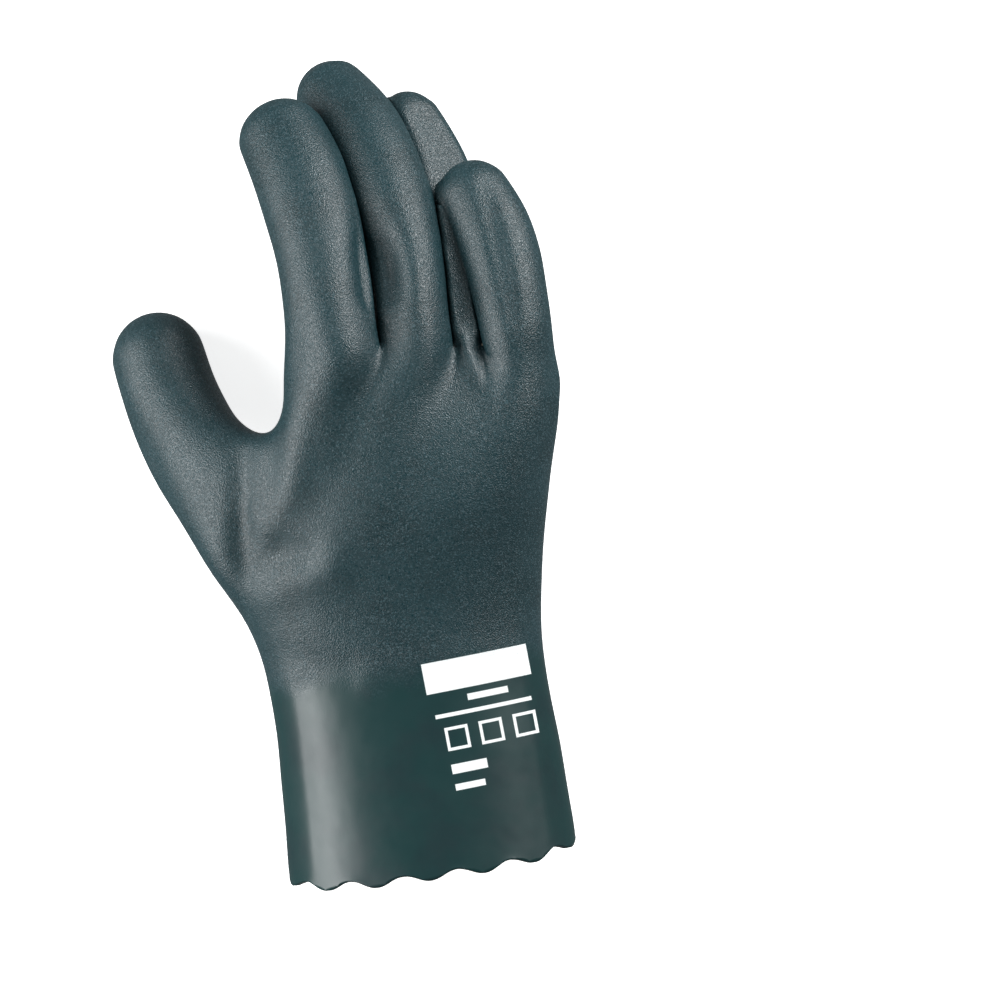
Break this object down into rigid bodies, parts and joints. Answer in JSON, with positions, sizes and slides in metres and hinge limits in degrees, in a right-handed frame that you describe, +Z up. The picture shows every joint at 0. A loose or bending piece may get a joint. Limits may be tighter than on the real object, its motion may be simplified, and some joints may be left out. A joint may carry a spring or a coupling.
{
  "type": "PVC coated work glove",
  "caption": "Right-hand PVC-dipped work glove lying palm down: smooth cuff with a waved hem, rough hand and thumb, gently curled fingers, open cotton-lined inside.",
  "frame": {"origin": "centre of the bounding box, at the surface that the glove lies on", "axes": "+X towards the little finger's side, +Y from the hem to the fingertips, +Z up from the palm through the back of the hand"},
  "size_m": [0.1422, 0.2654, 0.0669],
  "materials": {
    "pvc": "dark green PVC, satin smooth on the cuff and finely rough from the wrist to the fingertips"
  },
  "bodies": {
    "root": {"cuff_and_hand": "pvc", "thumb": "pvc", "index_finger": "pvc", "middle_finger": "pvc", "ring_finger": "pvc", "little_finger": "pvc"}
  },
  "joints": []
}
